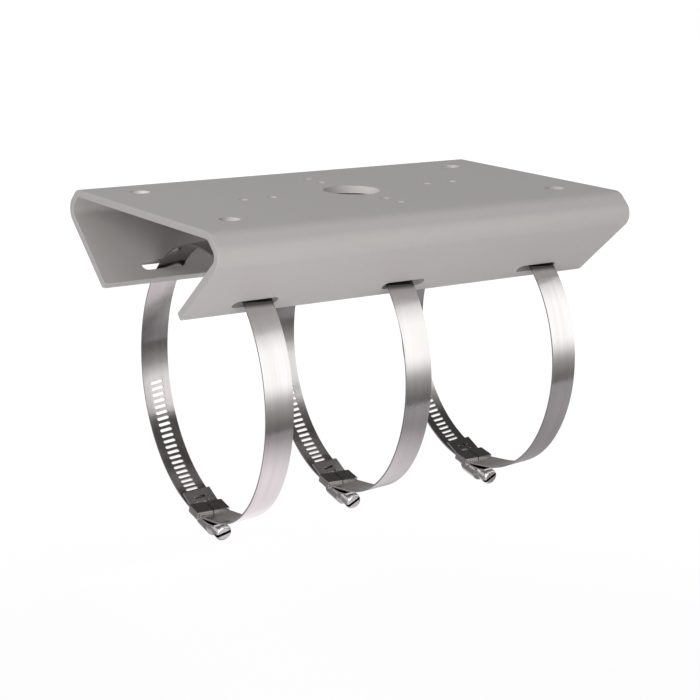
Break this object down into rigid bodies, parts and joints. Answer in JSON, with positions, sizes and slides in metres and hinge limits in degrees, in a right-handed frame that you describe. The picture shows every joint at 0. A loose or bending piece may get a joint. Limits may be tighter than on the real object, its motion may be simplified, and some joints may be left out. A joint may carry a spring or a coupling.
{
  "type": "camera pole bracket",
  "caption": "Folded steel plate bracket with a drilled top face for a camera and worm-drive band clamps through slots in its flanges, for fixing it to a pole.",
  "frame": {"origin": "centre of the top face's round hole, in the plane of the top face that the camera sits on", "axes": "+X along the plate's length, +Y across it towards the clamps' perforated strands, +Z out of the top face"},
  "size_m": [0.19, 0.1198, 0.1328],
  "materials": {
    "powder_coat": "fine matt grey powder coat",
    "band_steel": "bright rolled strip",
    "housing_steel": "bright pressed",
    "screw_steel": "zinc plated"
  },
  "bodies": {
    "bracket": {"bracket_plate": "powder_coat", "left_clamp_band": "band_steel", "left_clamp_housing": "housing_steel", "middle_clamp_band": "band_steel", "middle_clamp_housing": "housing_steel", "right_clamp_band": "band_steel", "right_clamp_housing": "housing_steel"},
    "left_screw": {"left_clamp_screw": "screw_steel"},
    "middle_screw": {"middle_clamp_screw": "screw_steel"},
    "right_screw": {"right_clamp_screw": "screw_steel"}
  },
  "joints": [
    {"name": "left_screw_turn", "type": "hinge", "parent": "bracket", "child": "left_screw", "pos_m": [-0.06431, 0.00683, -0.12633], "axis": [-0.034, -0.9827, -0.1822], "continuous": true},
    {"name": "middle_screw_turn", "type": "hinge", "parent": "bracket", "child": "middle_screw", "pos_m": [-0.00187, 0.00851, -0.12517], "axis": [-0.0311, -0.9828, -0.1822], "continuous": true},
    {"name": "right_screw_turn", "type": "hinge", "parent": "bracket", "child": "right_screw", "pos_m": [0.06829, 0.00689, -0.12643], "axis": [-0.0006, -0.9833, -0.1822], "continuous": true}
  ]
}
